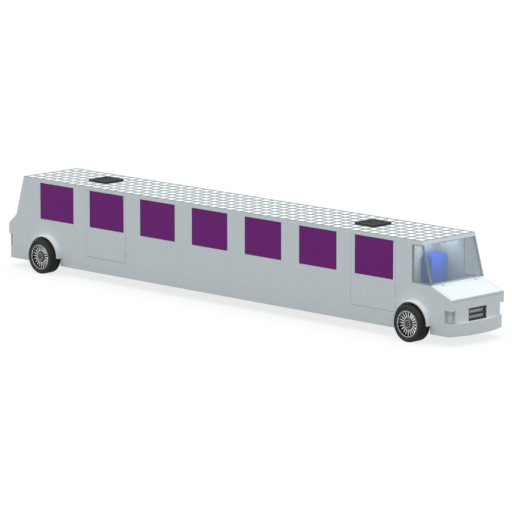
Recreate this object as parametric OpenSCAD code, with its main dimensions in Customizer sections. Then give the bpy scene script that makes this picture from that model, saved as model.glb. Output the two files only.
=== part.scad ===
// Long flat-sided stretch limousine with seven dark windows a side.
// X runs forward, Y to the left and Z up. The origin is on the ground under the middle.

/* [Body] */
// Width over the side walls
body_w = 1480; // [1400:10:1600]
// Height of the roof above the ground
roof_z = 1925; // [1880:5:2000]
// Height of the lower edge of the body above the ground
body_z = 185; // [150:5:200]
// Thickness of doors, side walls and end panels
wall_t = 50; // [40:1:60]
// Thickness of the roof
roof_t = 75; // [60:1:90]
// Height of the belt line, where the screens start
belt_z = 1105; // [1090:5:1120]
// Height of the front edge of the bonnet
nose_z = 892; // [870:2:920]
// Height of the rear edge of the boot lid's slope
tail_z = 905; // [880:5:930]
// Height of the top of both bumpers
bumper_z = 430; // [420:5:445]
// How far the bumpers bow out from their ends to the middle
bumper_bow = 140; // [100:5:160]
// How far the ends of the bumpers lie behind the nose and the tail
bumper_in = 50; // [40:5:55]
// Gap round doors and lids
gap = 6; // [5:0.5:8]

/* [Slopes, measured along X] */
// Nose to the foot of the windscreen
cowl_back = 510; // [480:5:540]
// Nose to the front edge of the roof
roof_back = 750; // [720:5:780]
// Tail to the foot of the rear window
shoulder_back = 230; // [200:5:260]
// Tail to the rear edge of the roof
roof_ahead = 470; // [440:5:500]

/* [Windows] */
// Width of a side window
window_w = 984; // [900:2:1000]
// Height of a side window
window_h = 735; // [690:5:740]
// Spacing of the side windows
window_pitch = 1475; // [1450:5:1480]
// Tail to the first side window
window_start = 973; // [960:1:990]
// Thickness of the glass
pane_t = 10; // [6:1:12]
// Width of the ledge that a pane rests on
ledge = 15; // [10:1:20]
// Nose to the rear edge of the cab's quarter window
quarter_back = 995; // [985:5:1005]
// Front edge of the windscreen to the rear edge of the slim pillar behind it
pillar_w = 30; // [25:1:40]

/* [Wheels] */
// Distance between the axles, which sets the length of the body and its row of windows
wheelbase = 10205; // [8800:5:11600]
// Nose to the front axle
front_overhang = 935; // [925:5:945]
// Rear axle to the tail
rear_overhang = 1150; // [1120:5:1180]
// Radius of a tyre
tyre_r = 350; // [340:1:355]
// Width of a tyre
tyre_w = 300; // [270:5:310]
// Radius where the tyre sits on the rim
rim_r = 270; // [255:1:280]
// Number of spokes in a wheel
spokes = 20; // [12:1:24]
// Overall width over the tyres
track_out = 1900; // [1860:5:1940]
// Radius of the wheel arch
arch_r = 405; // [400:1:415]
// How far an arch flare stands out
flare_out = 115; // [80:5:130]
// Thickness of an arch flare at the body
flare_t = 40; // [25:1:45]

/* [Roof] */
// Spacing of the ribs on the roof
rib_pitch = 240; // [200:5:300]
// Width of a roof rib
rib_w = 36; // [20:1:60]
// Height of a roof rib
rib_h = 8; // [4:1:12]
// Side of a square roof vent
vent_w = 500; // [400:10:540]
// Height of a roof vent above the ribs
vent_h = 45; // [30:1:60]
// Tail to the middle of the rear vent
vent_rear = 2150; // [1800:10:2400]
// Nose to the middle of the front vent
vent_front = 2695; // [2400:10:3000]

/* [Hidden] */
$fn = 64;
fit = 0.3;
half_w = body_w / 2;
inner_w = half_w - wall_t;
body_l = front_overhang + wheelbase + rear_overhang;
nose_x = body_l / 2;
tail_x = -body_l / 2;
cowl_x = nose_x - cowl_back;
roof_front_x = nose_x - roof_back;
shoulder_x = tail_x + shoulder_back;
roof_rear_x = tail_x + roof_ahead;
roof_under = roof_z - roof_t;
skin_z = roof_z - rib_h;
axle_z = tyre_r;
front_x = nose_x - front_overhang;
rear_x = tail_x + rear_overhang;
// Wall left between a side window and the roof
header = 10;
sill_z = roof_under - header - window_h;
// Back of the front bumper
bumper_x = nose_x - bumper_in - wall_t;
// Slant of the windscreen and of the rear window, run over rise
screen_run = (roof_back - cowl_back) / (roof_z - belt_z);
rear_run = (roof_ahead - shoulder_back) / (roof_z - belt_z);

// Middle of the driver's seat and steering wheel
driver_y = 210;

// Floor and frame
floor_t = 60;
floor_z = 480;
rail_w = 70;
rail_h = 80;
rail_y = 405;
house_y = 470;
house_t = 10;
rocker_top = floor_z + 5;
bulkhead_x = cowl_x - 90;

// Cross members of the frame, spread between the axles, and one at the tail
members = 5;
member_w = 80;
member_inset = 700;
member_drop = 10;
tail_member = 100;

// Row of windows: as many as fit before the front arch. Doors are at the second and at the last.
door_lead = 60;
door_tail = 113;
fender_min = 60;
row_clear = front_overhang + arch_r + fender_min + door_lead + gap;
window_count = floor((body_l - window_start - row_clear - window_w) / window_pitch) + 1;
rear_door = 1;
front_door = window_count - 1;
fixed_windows = [for (i = [rear_door + 1 : front_door - 1]) i];

// Quarter window: wall left above it
quarter_drop = 15;

// Engine block, its place and its feet on the rails
engine_w = 660;
engine_low = 290;
engine_drop = 60;
engine_reach = 50;
engine_short = 145;
engine_top = nose_z - engine_drop;
engine_rear_x = cowl_x - engine_reach;
engine_front_x = nose_x - engine_short;
foot_l = 120;
foot_h = 50;
foot_ahead = 80;

// Rear window in the slanted rear wall
rear_win_w = 940;
rear_win_low = belt_z + 110;
rear_win_high = roof_under - 90;

// Grille pocket in the nose
grille_w = 500;
grille_low = bumper_z + 8;
grille_high = 680;
pocket = 50;
pocket_t = 12;
bars = 3;
bar_h = 38;
bar_depth = 30;
post_in = 8;
post_w = 32;
post_depth = 20;

// Bonnet, and the strip of cowl between it and the windscreen
bonnet_t = 40;
cowl_lip = 40;
bonnet_x = cowl_x + cowl_lip + gap;

// Lamps
lamp_z = 680;
lamp_l = 175;
lamp_w = 135;
tail_lamp_l = 105;
tail_lamp_in = 25;
lens_t = 8;
bucket_t = 10;
lamp_set = wall_t;
lamp_flange = 15;
bulb_r = 30;
bulb_l = 50;
bulb_back = 120;

// Hinges, with the heights of a door's two hinges from its foot and from the sill, and the spread of a lid's
hinge_r = 9;
pin_r = 4;
hinge_l = 60;
hinge_ear = 12;
hinge_lift = hinge_r + 4;
hinge_low = 180;
hinge_high = 120;
hinge_y = 450;
run_fit = 0.05;

// Wheel carriers
wheel_y = (track_out - tyre_w) / 2;
king_y = wheel_y - 60;
king_r = 20;
boss_r = 40;
boss_h = 100;
ear_h = 25;
spindle_r = 30;
hub_r = 95;
hub_in = 20;
hub_out = 120;
bore_end = 112;
spindle_end = 3;
web_t = 24;
web_gap = 5;

// Tyre and rim sections
bead_in = 12;
bead_rise = 35;
shoulder_r = 40;
barrel_t = 18;
lip_w = 32;
lip_t = 14;
hub_chamfer = 12;
cap_r = 50;
cap_h = 12;
spoke_root = 22;
spoke_tip = 12;
spoke_t = 35;
spoke_in = 20;

// Partition behind the driver, with the way through left open on the right
partition_t = 25;
partition_off = 15;
partition_reach = 510;

// Driver's seat
seat_w = 500;
seat_from_nose = 1135;
seat_back_x = nose_x - seat_from_nose;
seat_back_t = 280;
seat_headroom = 305;
seat_high = roof_under - seat_headroom;
seat_round = 110;
pedestal_h = 60;
seat_low = floor_z + floor_t + pedestal_h;
cushion_l = 190;
cushion_t = 120;
pedestal_w = 360;
pedestal_front = 150;
pedestal_in = 40;

// Benches
bench_h = 400;
bench_back_h = 820;
bench_back_t = 120;
bench_depth = 460;
bench_inset = 250;
bench_gap = 20;
rear_bench = 350;

// Dashboard section, measured back from the bulkhead, and the steering wheel
dash_x = bulkhead_x - 15;
dash_low = 820;
dash_nose_z = 930;
dash_top = belt_z - wall_t;
dash_fall = 20;
dash_foot = 70;
dash_shelf = 110;
dash_deep = 140;
column_back = 235;
column_z = 918;
column_lean = 60;
column_l = 170;
column_r = 22;
ring_r = 150;
ring_tube = 14;
boss_ring_r = 40;
boss_ring_h = 24;
arm_w = 30;
arm_t = 14;
arm_in = 20;

// Leaf springs and axle beams
leaf_w = 60;
leaf_t = 40;
leaf_l = 1100;
beam_w = 60;
beam_h = 60;
front_drop = 80;
drop_y = rail_y + leaf_w / 2 + 35;
drop_run = 90;
drop_lean = 20;
rear_tube_r = 45;
rear_pad = 50;
pad_l = 100;
tube_short = 10;

function window_x(i) = tail_x + window_start + i * window_pitch;
function door_rear(i) = window_x(i) - door_tail;
function door_front(i) = window_x(i) + window_w + door_lead;
// Height of the bonnet's surface at x
function bonnet_z(x) = nose_z + (nose_x - x) * (belt_z - nose_z) / cowl_back;

// Helpers

// Everything is drawn for the right side and mirrored for the left
module on_side(side) {
    if (side == "left") mirror([0, 1, 0]) children();
    else children();
}

module both_sides() {
    children();
    mirror([0, 1, 0]) children();
}

// An outline in X and Z, extruded inwards from the right side wall's outer face
module side_plate(thickness = wall_t) {
    translate([0, thickness - half_w, 0]) rotate([90, 0, 0]) linear_extrude(thickness) children();
}

// An outline in X and Z, extruded across the body
module across(width) {
    translate([0, width / 2, 0]) rotate([90, 0, 0]) linear_extrude(width) children();
}

module block(low, high) {
    translate(low) cube(high - low);
}

// Rectangle in X and Z between two corners
module patch(x0, z0, x1, z1) {
    translate([x0, z0]) square([x1 - x0, z1 - z0]);
}

// Side view of the whole body, moved in at either end
module outline(rear_in = 0, front_in = 0, low = body_z) {
    polygon([
        [tail_x + rear_in, low], [tail_x + rear_in, tail_z],
        [shoulder_x + rear_in, belt_z], [roof_rear_x + rear_in, roof_z],
        [roof_front_x - front_in, roof_z], [cowl_x - front_in, belt_z],
        [nose_x - front_in, nose_z], [nose_x - front_in, low]
    ]);
}

module side_section(x0, x1, low) {
    intersection() {
        outline();
        patch(x0, low, x1, roof_under);
    }
}

// Cut for a window: a rebate for the pane outside and a smaller hole through
module window_cut(i) {
    x = window_x(i);
    block([x, -half_w - 1, sill_z], [x + window_w, pane_t - half_w, sill_z + window_h]);
    block([x + ledge, -half_w - 1, sill_z + ledge],
          [x + window_w - ledge, 1 - inner_w, sill_z + window_h - ledge]);
}

module window_pane(i) {
    x = window_x(i);
    block([x + fit, -half_w, sill_z + fit],
          [x + window_w - fit, pane_t - half_w, sill_z + window_h - fit]);
}

// Arch opening in a side wall: round over the axle, straight below it
module arch_cut(axle_x) {
    translate([axle_x, 1 - inner_w, axle_z]) rotate([90, 0, 0]) cylinder(r = arch_r, h = wall_t + 2);
    block([axle_x - arch_r, -half_w - 1, body_z - 1], [axle_x + arch_r, 1 - inner_w, axle_z]);
}

// Quarter window of the cab, moved in by inset, with its slanted front edge set back from the windscreen's
module quarter_outline(inset, front) {
    low = belt_z + inset;
    high = roof_under - quarter_drop - inset;
    edge = cowl_x - front - inset * sqrt(1 + screen_run * screen_run);
    polygon([
        [nose_x - quarter_back + inset, low], [edge - (low - belt_z) * screen_run, low],
        [edge - (high - belt_z) * screen_run, high], [nose_x - quarter_back + inset, high]
    ]);
}

// Knuckle on the moving leaf, which lies on the -X side with the skin towards +Y
module hinge_barrel() {
    difference() {
        union() {
            cylinder(r = hinge_r, h = hinge_l, center = true);
            block([-2 * hinge_r, -hinge_r / 2, -hinge_l / 2], [0, 3 * hinge_r, hinge_l / 2]);
        }
        cylinder(r = pin_r + run_fit, h = hinge_l + 2, center = true);
    }
}

// Pin and ears on the fixed leaf, which lies on the +X side
module hinge_pin() {
    cylinder(r = pin_r, h = hinge_l + 2 * hinge_ear, center = true);
    for (end = [-1, 1]) {
        translate([0, 0, end * (hinge_l + hinge_ear + 2) / 2]) {
            cylinder(r = hinge_r, h = hinge_ear, center = true);
            translate([0, -hinge_r / 2, -hinge_ear / 2]) cube([3 * hinge_r, hinge_r * 1.5, hinge_ear]);
        }
    }
}

// Places two hinges on the front edge of the door at window i
module at_door_hinges(i) {
    for (z = [rocker_top + hinge_low, sill_z - hinge_high])
        translate([door_front(i), -half_w - hinge_r, z]) children();
}

// Places two hinges across the body at the foot of the windscreen
module at_bonnet_hinges() {
    for (y = [-hinge_y, hinge_y])
        translate([bonnet_x, y, bonnet_z(bonnet_x) + hinge_lift]) rotate([-90, 0, 180]) children();
}

// Places two hinges across the body at the foot of the rear window
module at_boot_hinges() {
    for (y = [-hinge_y, hinge_y])
        translate([shoulder_x - 2 * gap, y, belt_z + hinge_r]) rotate([-90, 0, 0]) children();
}

// Frame, floor and engine

module chassis_frame() {
    color("dimgray") {
        both_sides()
            block([-bumper_x, rail_y - rail_w / 2, floor_z - rail_h], [bumper_x, rail_y + rail_w / 2, floor_z]);
        // Cross members between the rails
        spread = (wheelbase - 2 * member_inset) / (members - 1);
        places = concat([tail_member - bumper_x], [for (k = [0 : members - 1]) rear_x + member_inset + k * spread]);
        for (x = places)
            block([x - member_w / 2, -rail_y, floor_z - rail_h + member_drop],
                  [x + member_w / 2, rail_y, floor_z - member_drop]);
    }
}

// Housing over one wheel inside the body
module wheel_house(axle_x, grow) {
    intersection() {
        translate([axle_x, -inner_w, axle_z]) rotate([-90, 0, 0])
            cylinder(r = arch_r + grow, h = inner_w - house_y + grow);
        block([axle_x - 2 * arch_r, -half_w, floor_z - 1], [axle_x + 2 * arch_r, 0, roof_z]);
    }
}

module floor_pan() {
    color("gray") difference() {
        union() {
            block([tail_x + tail_lamp_l, -inner_w, floor_z], [bulkhead_x, inner_w, floor_z + floor_t]);
            // Bulkhead under the cowl
            block([bulkhead_x - 15, -inner_w, floor_z], [bulkhead_x, inner_w, belt_z - wall_t]);
            both_sides() for (x = [front_x, rear_x]) intersection() {
                wheel_house(x, house_t);
                block([tail_x, -inner_w, floor_z], [nose_x, 0, roof_z]);
            }
        }
        both_sides() for (x = [front_x, rear_x]) wheel_house(x, 0);
    }
}

module engine() {
    color("slategray") {
        block([engine_rear_x, -engine_w / 2, engine_low], [engine_front_x, engine_w / 2, engine_top]);
        both_sides() block([cowl_x + foot_ahead, engine_w / 2 - 10, floor_z],
                           [cowl_x + foot_ahead + foot_l, rail_y + rail_w / 2, floor_z + foot_h]);
    }
}

// Body shell

module rocker(side) {
    color("lightgray") on_side(side) side_plate()
        patch(door_rear(rear_door) - gap, body_z, door_front(front_door) + gap, rocker_top);
}

module side_panel(side) {
    color("lightgray") on_side(side) {
        difference() {
            side_plate() side_section(door_front(rear_door) + gap, door_rear(front_door) - gap, rocker_top);
            for (i = fixed_windows) window_cut(i);
        }
        at_door_hinges(rear_door) hinge_pin();
    }
}

module rear_quarter(side) {
    color("lightgray") on_side(side) difference() {
        side_plate() difference() {
            side_section(tail_x, door_rear(rear_door) - gap, body_z);
            patch(tail_x - 1, body_z - 1, -bumper_x, bumper_z);
            patch(tail_x - 1, bumper_z - 1, tail_x + tail_lamp_l, lamp_z);
        }
        arch_cut(rear_x);
        window_cut(0);
    }
}

module front_fender(side) {
    color("lightgray") on_side(side) {
        difference() {
            side_plate() difference() {
                side_section(door_front(front_door) + gap, nose_x, body_z);
                patch(bumper_x, body_z - 1, nose_x + 1, bumper_z);
                patch(nose_x - lamp_l, bumper_z - 1, nose_x + 1, lamp_z);
                quarter_outline(ledge, pillar_w);
                screen_room();
            }
            arch_cut(front_x);
            // Rebate for the quarter pane, which covers the pillar from outside
            translate([0, -1, 0]) side_plate(pane_t + 1) quarter_outline(0, 0);
        }
        at_door_hinges(front_door) hinge_pin();
    }
}

module roof_panel() {
    color("white") across(body_w) polygon([
        [roof_rear_x - rear_run * roof_t, roof_under], [roof_rear_x - rear_run * rib_h, skin_z],
        [roof_front_x + screen_run * rib_h, skin_z], [roof_front_x + screen_run * roof_t, roof_under]
    ]);
}

// Lattice of ribs over the roof, one plate with a hole for each cell
module roof_grid() {
    l = roof_front_x - roof_rear_x;
    nx = round(l / rib_pitch);
    ny = round(body_w / rib_pitch);
    px = (l - rib_w) / nx;
    py = (body_w - rib_w) / ny;
    rim = [[0, 0], [l, 0], [l, body_w], [0, body_w]];
    cells = [for (i = [0 : nx - 1], j = [0 : ny - 1]) let (x0 = i * px + rib_w, y0 = j * py + rib_w,
        x1 = (i + 1) * px, y1 = (j + 1) * py) [[x0, y0], [x1, y0], [x1, y1], [x0, y1]]];
    points = concat(rim, [for (cell = cells) each cell]);
    paths = [for (k = [0 : len(cells)]) [for (m = [0 : 3]) 4 * k + m]];
    color("silver") translate([roof_rear_x, -half_w, skin_z]) linear_extrude(rib_h) polygon(points, paths);
}

// Two square vents with louvres on the middle of the roof
module roof_vents() {
    bar = 40;
    slats = 4;
    slat_w = 32;
    slat_drop = 5;
    color([0.12, 0.13, 0.13]) for (x = [tail_x + vent_rear, nose_x - vent_front])
        translate([x, 0, roof_z]) {
            difference() {
                block([-vent_w / 2, -vent_w / 2, 0], [vent_w / 2, vent_w / 2, vent_h]);
                block([bar - vent_w / 2, bar - vent_w / 2, -1], [vent_w / 2 - bar, vent_w / 2 - bar, vent_h + 1]);
            }
            for (k = [1 : slats])
                translate([-vent_w / 2 + bar + k * (vent_w - 2 * bar) / (slats + 1), 0, vent_h / 2])
                    cube([slat_w, vent_w - bar, vent_h - 2 * slat_drop], center = true);
        }
}

// Rear wall above the boot lid, with the rear window cut
module rear_panel() {
    color("lightgray") {
        difference() {
            across(2 * inner_w) intersection() {
                difference() {
                    outline();
                    outline(rear_in = wall_t, low = body_z - 1);
                }
                patch(tail_x, belt_z, 0, roof_under);
            }
            across(rear_win_w) rear_band(rear_win_low, rear_win_high, -wall_t, pane_t);
            across(rear_win_w - 2 * ledge)
                rear_band(rear_win_low + ledge, rear_win_high - ledge, -wall_t, 2 * wall_t);
        }
        at_boot_hinges() hinge_pin();
    }
}

// Strip along the slanted rear wall between two heights and two depths
module rear_band(low, high, from, to) {
    function edge(z) = shoulder_x + (z - belt_z) * rear_run;
    polygon([
        [edge(low) + from, low], [edge(high) + from, high], [edge(high) + to, high], [edge(low) + to, low]
    ]);
}

// Front wall with a closed pocket for the grille
module nose_panel() {
    top = nose_z - bonnet_t - gap;
    color("lightgray") difference() {
        union() {
            block([nose_x - wall_t, -inner_w, bumper_z], [nose_x, inner_w, top]);
            block([nose_x - pocket - pocket_t, -grille_w / 2 - pocket_t, bumper_z],
                  [nose_x - 1, grille_w / 2 + pocket_t, grille_high + pocket_t]);
        }
        block([nose_x - pocket, -grille_w / 2, grille_low], [nose_x + 1, grille_w / 2, grille_high]);
        both_sides() block([nose_x - lamp_l, half_w - lamp_w, bumper_z - 1], [nose_x + 1, half_w, lamp_z]);
    }
}

// Three bars across the pocket, carried by a post behind each end
module grille() {
    pitch = (grille_high - grille_low - bar_h) / (bars - 1);
    post_x = nose_x - bar_depth + 10;
    post_y = grille_w / 2 - post_in;
    color([0.08, 0.08, 0.08]) {
        for (k = [0 : bars - 1])
            translate([nose_x - bar_depth, -grille_w / 2, grille_low + k * pitch]) cube([bar_depth, grille_w, bar_h]);
        both_sides() block([post_x - post_depth, post_y - post_w, grille_low], [post_x, post_y, grille_high]);
    }
}

module cowl() {
    color("lightgray") {
        block([bulkhead_x - 40, -inner_w, belt_z - wall_t], [cowl_x, inner_w, belt_z]);
        across(2 * inner_w) polygon([
            [cowl_x - 1, belt_z], [cowl_x, belt_z], [cowl_x + cowl_lip, bonnet_z(cowl_x + cowl_lip)],
            [cowl_x + cowl_lip, bonnet_z(cowl_x + cowl_lip) - bonnet_t], [cowl_x - 1, belt_z - wall_t]
        ]);
        at_bonnet_hinges() hinge_pin();
    }
}

// Bumper in plan: straight back, front bowed as one arc
module bumper() {
    r = (half_w * half_w + bumper_bow * bumper_bow) / (2 * bumper_bow);
    color("lightgray") translate([bumper_x, 0, body_z]) linear_extrude(bumper_z - body_z) {
        translate([0, -half_w]) square([wall_t, body_w]);
        intersection() {
            translate([wall_t + bumper_bow - r, 0]) circle(r, $fn = 180);
            translate([wall_t - 0.01, -half_w]) square([2 * bumper_bow, body_w]);
        }
    }
}

module rear_bumper() {
    mirror([1, 0, 0]) bumper();
}

// Space of a headlamp behind the corner notch, grown all round by edge
module lamp_space(edge) {
    block([nose_x - lamp_l - edge, half_w - lamp_w - edge, bumper_z],
          [nose_x - lamp_set, half_w - lamp_set, lamp_z + edge]);
}

// Space behind the lens, with walls of the given thickness on the other sides
module lamp_inside(wall, beyond) {
    block([nose_x - lamp_l + wall, half_w - lamp_w + wall, bumper_z + wall],
          [nose_x - lamp_set - lens_t + beyond, half_w - lamp_set - lens_t + beyond, lamp_z - wall]);
}

// Lamp in a bucket whose flange seats on the backs of the nose panel and the fender
module headlamps() {
    mid = [nose_x - bulb_back, half_w - (lamp_w - bucket_t + lamp_set + lens_t) / 2, (bumper_z + lamp_z) / 2];
    color("silver") both_sides() {
        difference() {
            lamp_space(lamp_flange);
            headlamp_lens();
            lamp_inside(bucket_t, 1);
        }
        translate(mid) rotate([0, -90, 0]) cylinder(r = bulb_r, h = bulb_l);
        translate(mid) sphere(bulb_r);
    }
}

// Lens round the corner, set back in the notch
module headlamp_lens() {
    difference() {
        lamp_space(0);
        lamp_inside(-1, 0);
    }
}

module headlamp_lenses() {
    color([0.62, 0.65, 0.66]) both_sides() headlamp_lens();
}

module tail_lamps() {
    color([0.72, 0.58, 0.58]) both_sides()
        block([tail_x + tail_lamp_in, half_w - lamp_w, bumper_z],
              [tail_x + tail_lamp_l, half_w - tail_lamp_in, lamp_z]);
}

// Half rings over the wheels, rounded off towards the lip
module arch_flares() {
    lip = 14;
    section = concat([[0, 0]], [for (a = [0 : 15 : 90]) [lip + (flare_t - lip) * cos(a), flare_out * sin(a)]],
                     [[0, flare_out]]);
    color("lightgray") both_sides() for (x = [front_x, rear_x])
        translate([x, half_w, axle_z]) rotate([-90, 180, 0])
            rotate_extrude(angle = 180) translate([arch_r, 0]) polygon(section);
}

// Glass

// Windscreen from the side
module screen_outline() {
    run = (roof_under - belt_z) * screen_run;
    polygon([
        [cowl_x, belt_z], [cowl_x - run, roof_under], [cowl_x - run - pane_t, roof_under], [cowl_x - pane_t, belt_z]
    ]);
}

// Room for the windscreen in front of a pillar
module screen_room() {
    top = roof_under + 1;
    polygon([
        [cowl_x + 1, belt_z], [cowl_x + 1, top], [cowl_x - pane_t - fit - (top - belt_z) * screen_run, top],
        [cowl_x - pane_t - fit, belt_z]
    ]);
}

// Pane over the whole width, in front of both pillars
module windscreen() {
    color([0.6, 0.68, 0.7, 0.5]) across(body_w) screen_outline();
}

module quarter_glass() {
    color([0.6, 0.63, 0.64, 0.5]) both_sides()
        side_plate(pane_t) quarter_outline(fit, pane_t);
}

module cabin_glass() {
    color([0.38, 0.15, 0.41]) {
        both_sides() for (i = concat([0], fixed_windows)) window_pane(i);
        across(rear_win_w - 2 * fit) rear_band(rear_win_low + fit, rear_win_high - fit, 0, pane_t);
    }
}

// Inside

// Driver's seat on a pedestal; the back has a rounded top
module driver_seat() {
    r = seat_round;
    half = seat_w / 2;
    back_x = seat_back_x - seat_back_t;
    color("royalblue") {
        translate([back_x, driver_y, 0]) rotate([90, 0, 90]) linear_extrude(seat_back_t) {
            translate([-half, seat_low]) square([seat_w, seat_high - seat_low - r]);
            translate([r - half, seat_high - 2 * r]) square([seat_w - 2 * r, 2 * r]);
            for (s = [-1, 1]) translate([s * (half - r), seat_high - r]) circle(r);
        }
        block([seat_back_x - 10, driver_y - half, seat_low],
              [seat_back_x + cushion_l, driver_y + half, seat_low + cushion_t]);
        block([back_x + pedestal_in, driver_y - pedestal_w / 2, floor_z + floor_t],
              [seat_back_x + pedestal_front, driver_y + pedestal_w / 2, seat_low + 1]);
    }
}

// Bench along the left wall and a bench across the rear
module lounge_seats() {
    floor_top = floor_z + floor_t;
    side_l = door_rear(front_door) - door_front(rear_door) - 2 * bench_inset;
    rear_half = house_y - bench_gap;
    module bench_section() {
        square([bench_depth, bench_h]);
        square([bench_back_t, bench_back_h]);
    }
    color("royalblue") {
        translate([door_front(rear_door) + bench_inset, inner_w, floor_top]) rotate([90, 0, 90])
            mirror([1, 0]) linear_extrude(side_l) bench_section();
        translate([rear_x - rear_bench, rear_half, floor_top]) rotate([90, 0, 0])
            linear_extrude(2 * rear_half) bench_section();
    }
}

// Shelf under the windscreen, bored for the steering column
module partition() {
    front = seat_back_x - seat_back_t - partition_off;
    color("gray") block([front - partition_t, driver_y - partition_reach, floor_z + floor_t],
                        [front, inner_w - gap, roof_under]);
}

module dashboard() {
    color("dimgray") difference() {
        across(2 * inner_w) polygon([
            [dash_x, dash_low], [dash_x, dash_top], [dash_x - dash_shelf, dash_top - dash_fall],
            [dash_x - dash_deep, dash_nose_z], [dash_x - dash_foot, dash_low]
        ]);
        at_steering() steering_column(fit);
    }
}

// Steering wheel's centre, with -Z along the column
module at_steering() {
    translate([bulkhead_x - column_back, driver_y, column_z]) rotate([0, -column_lean, 0]) children();
}

module steering_column(grow) {
    translate([0, 0, -column_l - grow]) cylinder(r = column_r + grow, h = column_l);
}

// Ring, hub, arms and column, aimed from the dashboard at the driver
module steering_wheel() {
    color([0.1, 0.1, 0.1]) at_steering() {
        rotate_extrude() translate([ring_r, 0]) circle(ring_tube);
        cylinder(r = boss_ring_r, h = boss_ring_h, center = true);
        for (a = [0, 120, 240]) rotate(a)
            translate([arm_in, -arm_w / 2, -arm_t / 2]) cube([ring_r - arm_in, arm_w, arm_t]);
        steering_column(0);
    }
}

// Running gear

// Beam with dropped middle and a boss for each kingpin
module front_axle() {
    drop_z = axle_z - front_drop;
    h = beam_h / 2;
    color("dimgray") difference() {
        union() {
            translate([front_x + beam_w / 2, 0, 0]) rotate([90, 0, -90]) linear_extrude(beam_w) polygon([
                [-king_y, axle_z - h], [-drop_y - drop_run, axle_z - h], [-drop_y, drop_z - h],
                [drop_y, drop_z - h], [drop_y + drop_run, axle_z - h], [king_y, axle_z - h],
                [king_y, axle_z + h], [drop_y + drop_run - drop_lean, axle_z + h], [drop_y - drop_lean, drop_z + h],
                [drop_lean - drop_y, drop_z + h], [drop_lean - drop_y - drop_run, axle_z + h], [-king_y, axle_z + h]
            ]);
            both_sides() translate([front_x, king_y, axle_z]) cylinder(r = boss_r, h = boss_h, center = true);
        }
        both_sides() translate([front_x, king_y, axle_z]) cylinder(r = king_r + run_fit, h = boss_h + 2, center = true);
    }
}

// Fork over the axle's boss, with its kingpin and the wheel's spindle
module knuckle(side) {
    ear_z = boss_h / 2 + fit;
    web_y = -boss_r - web_gap;
    color("gray") on_side(side) translate([front_x, -king_y, axle_z]) {
        cylinder(r = king_r, h = boss_h + 2 * ear_h, center = true);
        for (s = [-1, 1]) translate([0, 0, s * (ear_z + ear_h / 2)]) {
            cylinder(r = boss_r, h = ear_h, center = true);
            block([-boss_r, web_y - web_t, -ear_h / 2], [boss_r, 0, ear_h / 2]);
        }
        block([-boss_r, web_y - web_t, -ear_z - ear_h], [boss_r, web_y, ear_z + ear_h]);
        translate([0, -boss_r, 0]) rotate([90, 0, 0])
            cylinder(r = spindle_r, h = wheel_y + bore_end - spindle_end - king_y - boss_r);
    }
}

// Tube with a spring pad each side and a spindle at each end
module rear_axle() {
    color("dimgray") translate([rear_x, 0, axle_z]) {
        rotate([90, 0, 0]) cylinder(r = rear_tube_r, h = 2 * (wheel_y - tube_short), center = true);
        rotate([90, 0, 0]) cylinder(r = spindle_r, h = 2 * (wheel_y + bore_end - spindle_end), center = true);
        both_sides() block([-pad_l / 2, rail_y - leaf_w / 2, -rear_pad], [pad_l / 2, rail_y + leaf_w / 2, 0]);
    }
}

// Bowed leaf pack from the frame down to its seat, where its top is at height top_mid
module leaf_spring(axle_x, top_mid) {
    end_z = floor_z - rail_h;
    sag = end_z - top_mid;
    r = leaf_l * leaf_l / (8 * sag) + sag / 2;
    half = asin(leaf_l / 2 / r);
    translate([axle_x, -rail_y + leaf_w / 2, top_mid + r]) rotate([90, 0, 0])
        rotate([0, 0, 270 - half]) rotate_extrude(angle = 2 * half, $fn = 360)
            translate([r, 0]) square([leaf_t, leaf_w]);
}

module leaf_springs() {
    front_seat = axle_z - front_drop + beam_h / 2 + leaf_t;
    color("dimgray") both_sides() {
        leaf_spring(front_x, front_seat);
        leaf_spring(rear_x, axle_z - rear_pad - 1);
    }
}

// Tyre section: radius against distance from the middle, with the shoulder as an arc
module tyre(x, side) {
    h = tyre_w / 2;
    half = concat(
        [[rim_r, h - bead_in], [rim_r + bead_rise, h]],
        [for (a = [0 : 45 : 90]) [tyre_r - shoulder_r * (1 - sin(a)), h - shoulder_r * (1 - cos(a))]]
    );
    other = [for (k = [len(half) - 1 : -1 : 0]) [half[k][0], -half[k][1]]];
    color([0.13, 0.13, 0.13]) on_side(side) at_wheel(x) rotate_extrude() polygon(concat(half, other));
}

// Wheel frame: +Z points out of the right side
module at_wheel(x) {
    translate([x, -wheel_y, axle_z]) rotate([90, 0, 0]) children();
}

// Barrel with an outer lip, hub with a cap and a blind bore, and tapered spokes
module rim(x, side) {
    h = tyre_w / 2 - bead_in;
    inner_r = rim_r - barrel_t;
    root_x = hub_r - hub_chamfer;
    color("silver") on_side(side) at_wheel(x) difference() {
        union() {
            rotate_extrude() polygon([
                [inner_r, -h], [rim_r, -h], [rim_r, h], [rim_r - lip_w, h], [rim_r - lip_w, h - lip_t],
                [inner_r, h - lip_t - lip_w + barrel_t]
            ]);
            rotate_extrude() polygon([
                [0, hub_in], [hub_r, hub_in], [hub_r, hub_out - hub_chamfer], [root_x, hub_out],
                [cap_r + cap_h / 2, hub_out], [cap_r, hub_out + cap_h], [0, hub_out + cap_h]
            ]);
            for (k = [0 : spokes - 1]) rotate(k * 360 / spokes) translate([0, 0, hub_out - spoke_in - spoke_t])
                linear_extrude(spoke_t) polygon([
                    [root_x, -spoke_root / 2], [inner_r + 4, -spoke_tip / 2],
                    [inner_r + 4, spoke_tip / 2], [root_x, spoke_root / 2]
                ]);
        }
        translate([0, 0, hub_in - 1]) cylinder(r = spindle_r + run_fit, h = bore_end - hub_in + 1);
    }
}

// Doors and lids

module door(i, side) {
    color("lightgray") on_side(side) {
        difference() {
            side_plate() patch(door_rear(i), rocker_top + gap, door_front(i), roof_under - gap);
            window_cut(i);
        }
        at_door_hinges(i) hinge_barrel();
    }
}

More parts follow.
